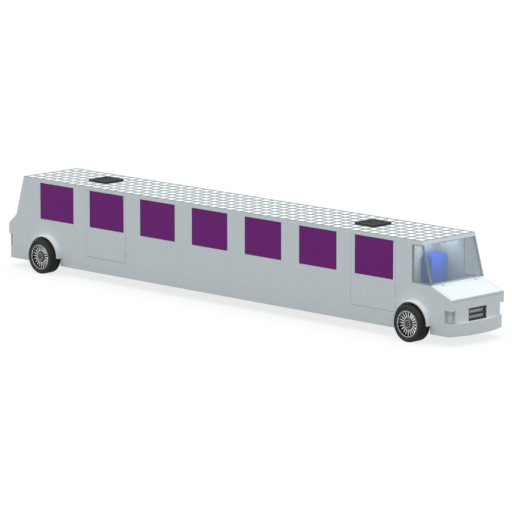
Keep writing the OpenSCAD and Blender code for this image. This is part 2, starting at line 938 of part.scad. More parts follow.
module door_glass(i, side) {
    color([0.38, 0.15, 0.41]) on_side(side) window_pane(i);
}

module bonnet() {
    color("lightgray") {
        across(2 * (inner_w - gap)) polygon([
            [bonnet_x, bonnet_z(bonnet_x)], [nose_x, nose_z],
            [nose_x, nose_z - bonnet_t], [bonnet_x, bonnet_z(bonnet_x) - bonnet_t]
        ]);
        at_bonnet_hinges() hinge_barrel();
    }
}

module boot_lid() {
    low = bumper_z + gap;
    color("lightgray") {
        difference() {
            across(2 * (inner_w - gap)) intersection() {
                difference() {
                    outline();
                    outline(rear_in = wall_t, low = body_z - 1);
                }
                patch(tail_x - 1, low, shoulder_x - gap, belt_z);
            }
            both_sides() block([tail_x - 1, half_w - lamp_w - gap, low - 1], [tail_x + tail_lamp_l, half_w, lamp_z + gap]);
        }
        at_boot_hinges() hinge_barrel();
    }
}

chassis_frame();
floor_pan();
engine();
rocker("right");  // rocker_right
rocker("left");  // rocker_left
side_panel("right");  // side_panel_right
side_panel("left");  // side_panel_left
rear_quarter("right");  // rear_quarter_right
rear_quarter("left");  // rear_quarter_left
front_fender("right");  // front_fender_right
front_fender("left");  // front_fender_left
roof_panel();
roof_grid();
roof_vents();
rear_panel();
nose_panel();
cowl();
bumper();  // front_bumper
rear_bumper();
grille();
headlamps();
headlamp_lenses();
tail_lamps();
arch_flares();
windscreen();
quarter_glass();
cabin_glass();
driver_seat();
lounge_seats();
partition();
dashboard();
steering_wheel();
front_axle();
rear_axle();
leaf_springs();
bonnet();
boot_lid();
door(front_door, "right");  // door_front_right
door(front_door, "left");  // door_front_left
door(rear_door, "right");  // door_rear_right
door(rear_door, "left");  // door_rear_left
door_glass(front_door, "right");  // door_glass_front_right
door_glass(front_door, "left");  // door_glass_front_left
door_glass(rear_door, "right");  // door_glass_rear_right
door_glass(rear_door, "left");  // door_glass_rear_left
knuckle("right");  // knuckle_right
knuckle("left");  // knuckle_left
tyre(front_x, "right");  // tyre_front_right
tyre(front_x, "left");  // tyre_front_left
tyre(rear_x, "right");  // tyre_rear_right
tyre(rear_x, "left");  // tyre_rear_left
rim(front_x, "right");  // rim_front_right
rim(front_x, "left");  // rim_front_left
rim(rear_x, "right");  // rim_rear_right
rim(rear_x, "left");  // rim_rear_left
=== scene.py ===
"""Looks of a long flat-sided stretch limousine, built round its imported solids."""

import logging
import math
from dataclasses import dataclass, replace
from enum import Enum, IntEnum
from typing import Iterable, Sequence

import bmesh
import bpy
from mathutils import Matrix, Vector


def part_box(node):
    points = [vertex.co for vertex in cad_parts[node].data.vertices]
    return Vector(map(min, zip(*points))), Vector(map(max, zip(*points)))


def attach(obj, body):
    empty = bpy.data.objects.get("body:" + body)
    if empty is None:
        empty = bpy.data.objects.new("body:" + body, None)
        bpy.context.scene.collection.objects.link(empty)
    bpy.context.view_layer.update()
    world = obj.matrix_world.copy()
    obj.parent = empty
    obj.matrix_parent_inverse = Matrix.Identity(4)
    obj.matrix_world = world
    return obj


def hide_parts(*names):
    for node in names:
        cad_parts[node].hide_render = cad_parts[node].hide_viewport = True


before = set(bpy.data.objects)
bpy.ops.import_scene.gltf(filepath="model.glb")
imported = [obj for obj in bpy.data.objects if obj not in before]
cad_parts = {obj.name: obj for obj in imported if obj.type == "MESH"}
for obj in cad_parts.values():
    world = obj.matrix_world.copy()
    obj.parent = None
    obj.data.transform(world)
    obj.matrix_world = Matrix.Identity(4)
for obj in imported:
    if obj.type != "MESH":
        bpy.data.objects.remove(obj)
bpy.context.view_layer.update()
LOG = logging.getLogger("limousine")

BMesh = bmesh.types.BMesh
Box = tuple[Vector, Vector]
Socket = bpy.types.NodeSocket
Tree = bpy.types.NodeTree

MM_PER_M = 1000
WHITE = "#FFFFFF"
# Points closer than this, in metres, are one point.
WELD = 1e-5
# Sharp-edge angle, in degrees, of a piece that is smooth all over.
ALL_SMOOTH = 180.0
# Numbers of a mix node's colour sockets, which share their names with its other sockets.
MIX_FIRST, MIX_SECOND, MIX_RESULT = 6, 7, 2


# Small helpers


def linear(code: str) -> tuple[float, float, float, float]:
    """Turns an sRGB hex colour into linear red, green, blue and alpha.

    Args:
        code: A colour such as "#E4E8EA".

    Returns:
        Four numbers from 0 to 1, the last of which is 1.
    """
    parts = [int(code[i:i + 2], 16) / 255 for i in (1, 3, 5)]
    red, green, blue = (p / 12.92 if p <= 0.04045 else ((p + 0.055) / 1.055) ** 2.4 for p in parts)
    return red, green, blue, 1.0


def add_node(tree: Tree, kind: str, settings: dict | None = None, values: dict | None = None,
             links: dict | None = None) -> bpy.types.Node:
    """Adds one node with its settings, socket values and incoming links.

    Args:
        tree: The node tree that gets the node.
        kind: Blender's name of the node type.
        settings: Properties of the node itself.
        values: Default values of its input sockets.
        links: Output sockets to join to its input sockets.

    Returns:
        The new node.
    """
    node = tree.nodes.new(kind)
    for key, value in (settings or {}).items():
        setattr(node, key, value)
    for key, value in (values or {}).items():
        node.inputs[key].default_value = value
    for key, source in (links or {}).items():
        tree.links.new(source, node.inputs[key])
    return node


def looks_up(tree: Tree, least: float = 0.5) -> Socket:
    """Tells faces that look up from the others.

    Args:
        tree: The node tree that gets the nodes.
        least: Smallest upward share of a face's normal that counts.

    Returns:
        1 on a face that looks up, and 0 elsewhere.
    """
    normal = add_node(tree, "ShaderNodeNewGeometry").outputs["Normal"]
    height = add_node(tree, "ShaderNodeSeparateXYZ", links={"Vector": normal}).outputs["Z"]
    up = add_node(tree, "ShaderNodeMath", {"operation": "GREATER_THAN"}, {1: least}, {0: height})
    return up.outputs[0]


def islands(node: str) -> list[Box]:
    """Finds the separate solids of a CAD node.

    Args:
        node: Name of the CAD node.

    Returns:
        The lowest and highest corner of each solid, sorted along X and then Y.
    """
    bm = bmesh.new()
    bm.from_mesh(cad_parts[node].data)
    bmesh.ops.remove_doubles(bm, verts=bm.verts, dist=WELD)
    left = set(bm.verts)
    boxes = []
    while left:
        group = [left.pop()]
        for vert in group:
            near = [e.other_vert(vert) for e in vert.link_edges if e.other_vert(vert) in left]
            left.difference_update(near)
            group.extend(near)
        columns = list(zip(*(v.co for v in group)))
        boxes.append((Vector(map(min, columns)), Vector(map(max, columns))))
    bm.free()
    return sorted(boxes, key=lambda box: (round(box[0].x, 3), box[0].y))


# Finishes


class Grain(Enum):
    """Texture that breaks up a surface, named by the node that draws it."""

    CLOUD = "ShaderNodeTexNoise"
    PEBBLE = "ShaderNodeTexVoronoi"


@dataclass(frozen=True)
class Finish:
    """A surface: colours, shine and grain. Subclasses add what follows the shape."""

    name: str
    colour: str
    shade: str
    roughness: float
    spread: float = 0.05
    metallic: float = 0.0
    specular: float = 0.5
    coat: float = 0.0
    coat_roughness: float = 0.08
    sheen: float = 0.0
    alpha: float = 1.0
    grain: Grain = Grain.CLOUD
    grain_mm: float = 40.0
    depth_mm: float = 0.2
    relief: float = 0.6
    shade_below: float = 0.3
    colour_above: float = 0.7

    def material(self) -> bpy.types.Material:
        """Returns this finish's material, made at its first use."""
        found = bpy.data.materials.get(self.name)
        return found or self.build()

    def build(self) -> bpy.types.Material:
        """Builds the node tree: grain drives the colour, the roughness and a bump.

        Returns:
            The new material.
        """
        made = bpy.data.materials.new(self.name)
        made.use_nodes = True
        tree = made.node_tree
        tree.nodes.clear()
        place = add_node(tree, "ShaderNodeTexCoord").outputs["Object"]
        grain = add_node(tree, self.grain.value, values={"Scale": MM_PER_M / self.grain_mm},
                         links={"Vector": place}).outputs[0]
        ramp = add_node(tree, "ShaderNodeValToRGB", links={"Fac": grain})
        first, last = ramp.color_ramp.elements
        first.position = self.shade_below
        first.color = linear(self.shade)
        last.position = self.colour_above
        last.color = linear(self.colour)
        shine = add_node(tree, "ShaderNodeMapRange", links={"Value": grain}, values={
            "To Min": self.roughness - self.spread, "To Max": self.roughness + self.spread})
        bump = add_node(tree, "ShaderNodeBump", links={"Height": grain}, values={
            "Strength": self.relief, "Distance": self.depth_mm / MM_PER_M})
        shader = add_node(tree, "ShaderNodeBsdfPrincipled", values={
            "Metallic": self.metallic, "Specular IOR Level": self.specular,
            "Coat Weight": self.coat, "Coat Roughness": self.coat_roughness,
            "Sheen Weight": self.sheen, "Alpha": self.alpha}, links={
            "Base Color": self.over(tree, place, ramp.outputs["Color"]),
            "Roughness": shine.outputs["Result"], "Normal": bump.outputs["Normal"]})
        add_node(tree, "ShaderNodeOutputMaterial", links={"Surface": shader.outputs["BSDF"]})
        return made

    def over(self, tree: Tree, place: Socket, colour: Socket) -> Socket:
        """Lays what follows the shape over the plain colour; a plain finish adds nothing."""
        return colour


@dataclass(frozen=True)
class DustyEnamel(Finish):
    """Sprayed enamel with a thin film of road dust that fades out above the sill."""

    dust: str = "#CFCDC6"
    dust_top: float = 0.55
    dust_low: float = 0.18
    dust_most: float = 0.18

    def over(self, tree: Tree, place: Socket, colour: Socket) -> Socket:
        """Blends the dust in by height.

        Args:
            tree: The material's node tree.
            place: Object coordinates.
            colour: The plain enamel.

        Returns:
            The enamel under its film.
        """
        height = add_node(tree, "ShaderNodeSeparateXYZ", links={"Vector": place}).outputs["Z"]
        film = add_node(tree, "ShaderNodeMapRange", links={"Value": height}, values={
            "From Min": self.dust_low, "From Max": self.dust_top,
            "To Min": self.dust_most, "To Max": 0.0})
        mix = add_node(tree, "ShaderNodeMix", {"data_type": "RGBA"}, {MIX_SECOND: linear(self.dust)},
                       {"Factor": film.outputs["Result"], MIX_FIRST: colour})
        return mix.outputs[MIX_RESULT]


@dataclass(frozen=True)
class RoofPaintedTopLight(Finish):
    """Painted top light: a whiter colour on faces that look up, with the body's enamel round its edge.
    """

    edge: str = "#E4E8EA"

    def over(self, tree: Tree, place: Socket, colour: Socket) -> Socket:
        """Picks the colour by which way the face looks: the whiter colour on top is painted top light.

        Args:
            tree: The material's node tree.
            place: Object coordinates, which this finish has no need of.
            colour: The whiter colour, which is painted top light.

        Returns:
            The painted top light on top and the enamel elsewhere.
        """
        # The whiter colour on faces that look up is painted top light.
        mix = add_node(tree, "ShaderNodeMix", {"data_type": "RGBA"}, {MIX_FIRST: linear(self.edge)},
                       {"Factor": looks_up(tree), MIX_SECOND: colour})
        return mix.outputs[MIX_RESULT]


@dataclass(frozen=True)
class WheelAlloy(Finish):
    """Polished spokes with a dark enamelled hub and lip, and the same dark on the barrel behind them
    as painted shade.
    """

    # Dark enamel on the hub and lip, and painted shade on all that lies behind the spoke faces.
    dark: str = "#4B4F51"
    axle: tuple[float, float] = (0.0, 0.35)
    hub_radius: float = 0.112
    lip_radius: float = 0.245
    face_y: float = 0.862

    def over(self, tree: Tree, place: Socket, colour: Socket) -> Socket:
        """Keeps the polish between the hub and the lip, on the outer side of the wheel only.

        Args:
            tree: The material's node tree.
            place: Object coordinates.
            colour: The polished metal.

        Returns:
            The metal on the spokes, the dark enamel on the hub and lip, and painted shade in the same
            dark behind the spoke faces.
        """
        x, z = self.axle
        centred = add_node(tree, "ShaderNodeMapping", values={"Location": (-x, 0, -z)},
                           links={"Vector": place}).outputs["Vector"]
        axes = add_node(tree, "ShaderNodeSeparateXYZ", links={"Vector": centred}).outputs
        across = add_node(tree, "ShaderNodeCombineXYZ", links={"X": axes["X"], "Y": axes["Z"]})
        radius = add_node(tree, "ShaderNodeVectorMath", {"operation": "LENGTH"},
                          links={0: across.outputs["Vector"]}).outputs["Value"]
        depth = add_node(tree, "ShaderNodeMath", {"operation": "ABSOLUTE"},
                         links={0: axes["Y"]}).outputs[0]
        passed = []
        for test, limit, measure in (("GREATER_THAN", self.hub_radius, radius),
                                     ("LESS_THAN", self.lip_radius, radius),
                                     ("GREATER_THAN", self.face_y, depth)):
            node = add_node(tree, "ShaderNodeMath", {"operation": test}, {1: limit}, {0: measure})
            passed.append(node.outputs[0])
        past_hub, in_lip, in_front = passed
        between = add_node(tree, "ShaderNodeMath", {"operation": "MULTIPLY"},
                           links={0: past_hub, 1: in_lip})
        polished = add_node(tree, "ShaderNodeMath", {"operation": "MULTIPLY"},
                            links={0: between.outputs[0], 1: in_front})
        # What lies behind the spoke faces gets the dark colour as painted shade.
        mix = add_node(tree, "ShaderNodeMix", {"data_type": "RGBA"}, {MIX_FIRST: linear(self.dark)},
                       {"Factor": polished.outputs[0], MIX_SECOND: colour})
        return mix.outputs[MIX_RESULT]


@dataclass(frozen=True)
class FloorCover(Finish):
    """Carpet on faces that look up, pale enamel in the wheel houses, whose paleness is also painted
    light against the shade under the arches, and underseal elsewhere.
    """

    underseal: str = "#202223"
    # Pale enamel for the wheel houses: paint, made pale as painted light that lightens the shade under
    # the arches.
    house: str = "#D9DDDF"
    house_y: float = 0.46

    def over(self, tree: Tree, place: Socket, colour: Socket) -> Socket:
        """Picks the cover by which way the face looks and how far out it lies.

        Args:
            tree: The material's node tree.
            place: Object coordinates.
            colour: The carpet.

        Returns:
            The carpet on top, and elsewhere the pale enamel, which is partly painted light, or the
            underseal.
        """
        across = add_node(tree, "ShaderNodeSeparateXYZ", links={"Vector": place}).outputs["Y"]
        out = add_node(tree, "ShaderNodeMath", {"operation": "ABSOLUTE"}, links={0: across})
        far = add_node(tree, "ShaderNodeMath", {"operation": "GREATER_THAN"}, {1: self.house_y},
                       {0: out.outputs[0]})
        below = add_node(tree, "ShaderNodeMix", {"data_type": "RGBA"},
                         {MIX_FIRST: linear(self.underseal), MIX_SECOND: linear(self.house)},
                         {"Factor": far.outputs[0]})
        cover = add_node(tree, "ShaderNodeMix", {"data_type": "RGBA"}, links={
            "Factor": looks_up(tree), MIX_FIRST: below.outputs[MIX_RESULT], MIX_SECOND: colour})
        return cover.outputs[MIX_RESULT]


# Polyurethane enamel, sprayed and polished: an even pale silver with a soft gloss. Its orange
# peel is drawn at 90 mm, far coarser than the real 3 mm, so that it shows at all on a 12 m body.
ENAMEL = DustyEnamel("silver_white_enamel", "#E4E8EA", "#E0E4E7", 0.42, 0.03, specular=0.3,
                     coat=0.08, grain_mm=90, depth_mm=0.05)
# Painted top light on the roof: faces that look up are whiter than the enamel, as though lit from
# above, and the other faces keep the enamel.
ROOF_PAINTED_TOP_LIGHT = RoofPaintedTopLight("roof_painted_top_light", "#F1F3F4", "#EDF0F1", 0.5, 0.04, specular=0.3,
                    grain_mm=120, depth_mm=0.05)
# Anodised aluminium extrusion: a grey satin sheen with faint clouding from the anodising bath.
ANODISED = Finish("anodised_aluminium", "#979DA0", "#8F9598", 0.45, 0.06, metallic=0.85,
                  grain_mm=35, depth_mm=0.02)
# Glass-filled nylon, moulded: near black with a spark-eroded grain that breaks up highlights.
# The grain is drawn at 9 mm, coarser than the real one, so that it shows.
BLACK_NYLON = Finish("black_moulded_nylon", "#1B1D1D", "#141616", 0.5, 0.08, specular=0.4,
                     grain=Grain.PEBBLE, grain_mm=9, depth_mm=0.15)
# Vacuum-metallised reflector: a bright soft mirror, slightly clouded.
REFLECTOR = Finish("metallised_reflector", "#E3E7E9", "#D3D8DA", 0.22, 0.06, metallic=0.45,
                   grain_mm=25, depth_mm=0.05)
# Moulded acrylic lamp cover: frosted on the inside, with fine scratches that soften its shine.
ACRYLIC = Finish("frosted_acrylic", "#F0F4F5", "#E6EAEB", 0.16, 0.05, alpha=0.45,
                 grain_mm=12, depth_mm=0.05)
# Pressed-glass lamp, silvered inside: nearly white, with a sharp wet gloss.
PRESSED_GLASS = Finish("pressed_lamp_glass", "#F2F5F6", "#ECEFF0", 0.1, 0.03, coat=1.0,
                       grain_mm=20, depth_mm=0.1)
# Red acrylic, weathered to a dull pink, with a prism pattern moulded inside.
RED_ACRYLIC = Finish("faded_red_acrylic", "#DDB0AF", "#D5A5A4", 0.25, 0.05, coat=0.2,
                     grain=Grain.PEBBLE, grain_mm=18, depth_mm=0.3)
# Laminated screen glass: grey green in the mass, and a thin film of haze that catches the light.
SCREEN_GLASS = Finish("laminated_screen_glass", "#8EA0A3", "#8A9C9F", 0.06, 0.02, alpha=0.35,
                      grain_mm=300, depth_mm=0.01)
# Float glass under a purple film: reads as one dark even purple from outside.
PURPLE_GLASS = Finish("purple_filmed_glass", "#7C1F80", "#7A1E7E", 0.12, 0.02, specular=0.1,
                      grain_mm=260, depth_mm=0.01)
# Corrected-grain cow hide, dyed through: royal blue, with pebbles drawn coarse, at 8 mm, to show.
BLUE_HIDE = Finish("royal_blue_hide", "#2459E0", "#1D4FD0", 0.42, 0.07, coat=0.05, sheen=0.1,
                   grain=Grain.PEBBLE, grain_mm=8, depth_mm=0.5)
# ABS, moulded with a leather grain: mid grey and dull. The grain is drawn coarse, at 7 mm, to show.
GREY_ABS = Finish("grey_moulded_abs", "#5C6163", "#54595B", 0.6, 0.06,
                  grain=Grain.PEBBLE, grain_mm=7, depth_mm=0.2)
# High-pressure laminate on the partition: pale grey and dull, with a printed fleck.
LAMINATE = Finish("pale_grey_laminate", "#D3D8DA", "#CDD2D4", 0.5, 0.05, specular=0.3,
                  grain_mm=14, depth_mm=0.1)
# Chassis enamel, brushed on over steel: black grey with uneven gloss.
CHASSIS_ENAMEL = Finish("black_chassis_enamel", "#35383A", "#2B2D2F", 0.5, 0.12,
                        grain_mm=60, depth_mm=0.4)
# Grey cast iron, as cast: rough from the sand mould, with the grit drawn coarse, at 10 mm, to show.
CAST_IRON = Finish("sand_cast_iron", "#5A5E60", "#494D4F", 0.7, 0.1, metallic=0.4,
                   grain_mm=10, depth_mm=0.6)
# Forged steel, machined where it turns: dull grey with darker scale.
FORGED_STEEL = Finish("forged_steel", "#6F7375", "#595D5F", 0.48, 0.1, metallic=0.7,
                      grain_mm=30, depth_mm=0.2)
# Tyre sidewall: carbon-black rubber, moulded smooth and slightly browned.
SIDEWALL = Finish("tyre_sidewall_rubber", "#252626", "#202121", 0.62, 0.08, specular=0.35,
                  grain_mm=16, depth_mm=0.2)
# Tyre tread: the same rubber, scuffed and greyed by fine khaki road dust.
TREAD = Finish("dusty_tread_rubber", "#3A3932", "#2A2A27", 0.82, 0.08, specular=0.25,
               grain_mm=22, depth_mm=0.4)
# Extruded rubber seal: dark grey and dull.
SEAL_RUBBER = Finish("window_seal_rubber", "#3A3240", "#332C39", 0.7, 0.08, specular=0.3,
                     grain_mm=12, depth_mm=0.1)
# Cut-pile carpet on the cabin floor: blue grey tufts, drawn coarse, at 9 mm, to show.
CARPET = FloorCover("cabin_carpet_and_underseal", "#59606E", "#474D59", 0.92, 0.05, specular=0.1,
                    sheen=0.2, grain_mm=9, depth_mm=2.0)
# Cast aluminium wheel, turned and polished, with dark enamel on the hub, and painted shade in the same
# dark on the barrel behind the spokes.
ALLOY = WheelAlloy("polished_alloy", "#DADCDC", "#CCCECE", 0.2, 0.05, metallic=0.9,
                   grain_mm=30, depth_mm=0.02)


# The studio


@dataclass
class Studio:
    """Camera at the photograph's angle, soft light from above and in the cab, and a pale floor."""

    azimuth: float = 44.737
    elevation: float = 10.082
    distance: float = 82.012
    target: tuple[float, float, float] = (0.298, 0.0, 0.913)
    lens_mm: float = 292.77
    sensor_mm: float = 36.0
    sight: float = 1000.0
    dome: float = 0.69
    dome_tint: tuple[float, float, float, float] = (0.87, 0.955, 1.0, 1.0)
    top_light: float = 1.9
    top_spread_deg: float = 70.0
    top_tint: tuple[float, float, float] = (1.0, 0.985, 0.96)
    screen_light: float = 3.5
    screen_size: tuple[float, float] = (0.45, 0.45)
    screen_gap: float = 0.12
    ceiling_light: float = 4.5
    ceiling_size: tuple[float, float] = (0.5, 1.0)
    ceiling_gap: float = 0.02
    ceiling_back: float = 0.1
    floor_radius: float = 90.0
    floor_steps: int = 96
    floor_glow: float = 0.8
    floor_bounce: str = "#959595"
    floor_pale: str = "#F3F3F3"

    def build(self) -> None:
        """Makes the camera, the lights and the floor."""
        bpy.context.scene.view_settings.view_transform = "Standard"
        self.camera()
        self.world()
        self.lamps()
        self.floor()

    def camera(self) -> None:
        """Places the camera on the fitted direction, looking at the fitted point."""
        turn, rise = math.radians(self.azimuth), math.radians(self.elevation)
        flat = math.cos(rise)
        back = Vector((math.sin(turn) * flat, -math.cos(turn) * flat, math.sin(rise)))
        data = bpy.data.cameras.new("photo_camera")
        data.lens = self.lens_mm
        data.sensor_width = self.sensor_mm
        data.clip_end = self.sight
        eye = bpy.data.objects.new("photo_camera", data)
        eye.location = Vector(self.target) + back * self.distance
        eye.rotation_mode = "QUATERNION"
        eye.rotation_quaternion = (-back).to_track_quat("-Z", "Y")
        bpy.context.scene.collection.objects.link(eye)
        bpy.context.scene.camera = eye

    def seen(self, tree: Tree) -> Socket:
        """Tells rays that show a surface from light on its way.

        Args:
            tree: The node tree that gets the nodes.

        Returns:
            1 for rays from the eye, a mirror or glass, and 0 for others.
        """
        path = add_node(tree, "ShaderNodeLightPath").outputs
        mirror = add_node(tree, "ShaderNodeMath", {"operation": "MAXIMUM"},
                          links={0: path["Is Camera Ray"], 1: path["Is Glossy Ray"]})
        glass = add_node(tree, "ShaderNodeMath", {"operation": "MAXIMUM"},
                         links={0: mirror.outputs[0], 1: path["Is Transmission Ray"]})
        return glass.outputs[0]

    def world(self) -> None:
        """Makes a dim cool dome that shows as white."""
        world = bpy.data.worlds.new("studio_dome")
        bpy.context.scene.world = world
        world.use_nodes = True
        tree = world.node_tree
        tree.nodes.clear()
        light = add_node(tree, "ShaderNodeBackground",
                         values={"Color": self.dome_tint, "Strength": self.dome})
        white = add_node(tree, "ShaderNodeBackground",
                         values={"Color": linear(WHITE), "Strength": 1.0})
        mix = add_node(tree, "ShaderNodeMixShader", links={
            0: self.seen(tree), 1: light.outputs[0], 2: white.outputs[0]})
        add_node(tree, "ShaderNodeOutputWorld", links={"Surface": mix.outputs[0]})

    def lamps(self) -> None:
        """Hangs a wide overhead light, and soft ones behind the screen and under the ceiling."""
        top = bpy.data.lights.new("overhead", "SUN")
        top.energy = self.top_light
        top.angle = math.radians(self.top_spread_deg)
        top.color = self.top_tint
        bpy.context.scene.collection.objects.link(bpy.data.objects.new("overhead", top))
        low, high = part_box("windscreen")
        seat_low, seat_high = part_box("driver_seat")
        headrest = Vector(((seat_low.x + seat_high.x) / 2, 0, seat_high.z))
        screen = (low + high) / 2 - Vector((self.screen_gap, 0, 0))
        self.fill("screen_fill", screen, headrest, self.screen_size, self.screen_light)
        ceiling = Vector((seat_high.x - self.ceiling_back, 0, high.z - self.ceiling_gap))
        below = ceiling - Vector((0, 0, 1))
        self.fill("ceiling_fill", ceiling, below, self.ceiling_size, self.ceiling_light)

    def fill(self, name: str, place: Vector, aim: Vector, size: tuple[float, float],
             power: float) -> None:
        """Adds a soft light that shines into the cab.

        Args:
            name: Name of the light.
            place: Its middle.
            aim: A point that it shines at.
            size: Its height and width.
            power: Its power in watts.
        """
        soft = bpy.data.lights.new(name, "AREA")
        soft.shape = "RECTANGLE"
        soft.size_y, soft.size = size
        soft.energy = power
        lamp = bpy.data.objects.new(name, soft)
        lamp.location = place
        lamp.rotation_mode = "QUATERNION"
        lamp.rotation_quaternion = (aim - place).to_track_quat("-Z", "Y")
        lamp.visible_camera = False
        lamp.visible_glossy = False
        bpy.context.scene.collection.objects.link(lamp)

    def floor(self) -> None:
        """Lays a round pale floor that keeps a soft shadow and throws little light back."""
        bm = bmesh.new()
        bmesh.ops.create_circle(bm, cap_ends=True, segments=self.floor_steps,
                                radius=self.floor_radius)
        mesh = bpy.data.meshes.new("floor")
        bm.to_mesh(mesh)
        bm.free()
        floor = bpy.data.objects.new("floor", mesh)
        bpy.context.scene.collection.objects.link(floor)
        made = bpy.data.materials.new("pale_floor")
        made.use_nodes = True
        tree = made.node_tree
        tree.nodes.clear()
        bounce = add_node(tree, "ShaderNodeBsdfDiffuse", values={"Color": linear(self.floor_bounce)})
        pale = add_node(tree, "ShaderNodeBsdfDiffuse", values={"Color": linear(self.floor_pale)})
        glow = add_node(tree, "ShaderNodeEmission", values={"Color": linear(WHITE), "Strength": 1.0})
        shown = add_node(tree, "ShaderNodeMixShader", values={0: self.floor_glow},
                         links={1: pale.outputs[0], 2: glow.outputs[0]})
        mix = add_node(tree, "ShaderNodeMixShader", links={
            0: self.seen(tree), 1: bounce.outputs[0], 2: shown.outputs[0]})
        add_node(tree, "ShaderNodeOutputMaterial", links={"Surface": mix.outputs[0]})
        mesh.materials.append(made)


# Pieces


def publish(bm: BMesh, name: str, finishes: Sequence[Finish], body: str,
            sharp_deg: float = 35.0) -> bpy.types.Object:
    """Turns a bmesh into a finished piece that rides on a body.

    Args:
        bm: The shape, in the row frame. It is freed.
        name: Name of the piece.
        finishes: Finishes in the order of the faces' material numbers.
        body: CAD body that carries the piece.
        sharp_deg: Edges that turn more than this stay sharp.

    Returns:
        The new object.
    """
    for face in bm.faces:
        face.smooth = True
    mesh = bpy.data.meshes.new(name)
    bm.to_mesh(mesh)
    bm.free()
    mesh.set_sharp_from_angle(angle=math.radians(sharp_deg))
    for finish in finishes:
        mesh.materials.append(finish.material())
    piece = bpy.data.objects.new(name, mesh)
    bpy.context.scene.collection.objects.link(piece)
    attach(piece, body)
    LOG.info("%s: %d faces on %s", name, len(mesh.polygons), body)
    return piece


def wear(node: str, finish: Finish) -> None:
    """Gives a CAD node one finish.

    Args:
        node: Name of the CAD node.
        finish: The finish that its one material slot gets.
    """
    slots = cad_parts[node].data.materials
    slots.clear()
    slots.append(finish.material())
    LOG.info("%s wears %s", node, finish.name)


def round_edges(bm: BMesh, edges: Iterable[bmesh.types.BMEdge], radius: float, segments: int) -> None:
    """Rounds edges off.

    Args:
        bm: The bmesh that holds them.
        edges: The edges.
        radius: How far the rounding reaches.
        segments: Steps in it.
    """
    bmesh.ops.bevel(bm, geom=list(edges), offset=radius, affect="EDGES", segments=segments,
                    profile=0.5, material=-1)


def box_into(bm: BMesh, low: Vector, high: Vector, round_off: float = 0.0, segments: int = 2) -> None:
    """Adds a box with rounded edges.

    Args:
        bm: The bmesh that gets the box.
        low: Its lowest corner.
        high: Its highest corner.
        round_off: Radius of its edges, or 0 for sharp ones.
        segments: Steps in each rounded edge.
    """
    middle, size = (low + high) / 2, high - low
    place = Matrix.Translation(middle) @ Matrix.Diagonal((*size, 1.0))
    verts = bmesh.ops.create_cube(bm, size=1.0, matrix=place)["verts"]
    if round_off:
        edges = dict.fromkeys(edge for vert in verts for edge in vert.link_edges)
        round_edges(bm, edges, round_off, segments)


def disc_into(bm: BMesh, middle: Vector, radius: float, thick: float, turn: Matrix, round_off: float,
              steps: int = 48, rim_angle: float = 1.0, rim_steps: int = 3) -> None:
    """Adds a round disc with rounded rims.

    Args:
        bm: The bmesh that gets the disc.
        middle: Its middle.
        radius: Its radius.
        thick: Its thickness.
        turn: Turns its axis from Z.
        round_off: Radius of its rims.
        steps: Sides of its outline.
        rim_angle: An edge that turns more than this, in radians, is a rim.
        rim_steps: Steps in each rounded rim.
    """
    place = Matrix.Translation(middle) @ turn
    verts = bmesh.ops.create_cone(bm, cap_ends=True, segments=steps, radius1=radius, radius2=radius,
                                  depth=thick, matrix=place)["verts"]
    edges = dict.fromkeys(edge for vert in verts for edge in vert.link_edges)
    rims = [edge for edge in edges if edge.calc_face_angle(0) > rim_angle]
    round_edges(bm, rims, round_off, rim_steps)


@dataclass
class Shell:
    """The CAD nodes that keep their own shape, each with its finish."""

    paint: Sequence[str] = (
        "rocker_right", "rocker_left", "side_panel_right", "side_panel_left",
        "rear_quarter_right", "rear_quarter_left", "front_fender_right", "front_fender_left",
        "rear_panel", "nose_panel", "cowl", "front_bumper", "rear_bumper", "arch_flares",
        "bonnet", "boot_lid", "door_front_right", "door_front_left", "door_rear_right",
        "door_rear_left")
    steel: Sequence[str] = (
        "front_axle", "rear_axle", "leaf_springs", "knuckle_right", "knuckle_left")
    tinted: Sequence[str] = (
        "cabin_glass", "door_glass_front_right", "door_glass_front_left",
        "door_glass_rear_right", "door_glass_rear_left")

    def dress(self) -> None:
        """Puts each finish in its nodes' material slots."""
        groups: list[tuple[Finish, Iterable[str]]] = [
            (ENAMEL, self.paint),
            (FORGED_STEEL, self.steel),
            (PURPLE_GLASS, self.tinted),
            # The roof panel's faces that look up get a whiter colour as painted top light.
            (ROOF_PAINTED_TOP_LIGHT, ["roof_panel"]),
            (ANODISED, ["roof_grid"]),
            (BLACK_NYLON, ["roof_vents", "grille", "steering_wheel"]),
            (REFLECTOR, ["headlamps"]),
            (ACRYLIC, ["headlamp_lenses"]),
            (RED_ACRYLIC, ["tail_lamps"]),
            (SCREEN_GLASS, ["windscreen", "quarter_glass"]),
            (GREY_ABS, ["dashboard"]),
            (CHASSIS_ENAMEL, ["chassis_frame"]),
            (CAST_IRON, ["engine"]),
            (CARPET, ["floor_pan"]),
            (LAMINATE, ["partition"]),
            (BLUE_HIDE, ["driver_seat", "lounge_seats"])]
        for finish, names in groups:
            for name in names:
                wear(name, finish)


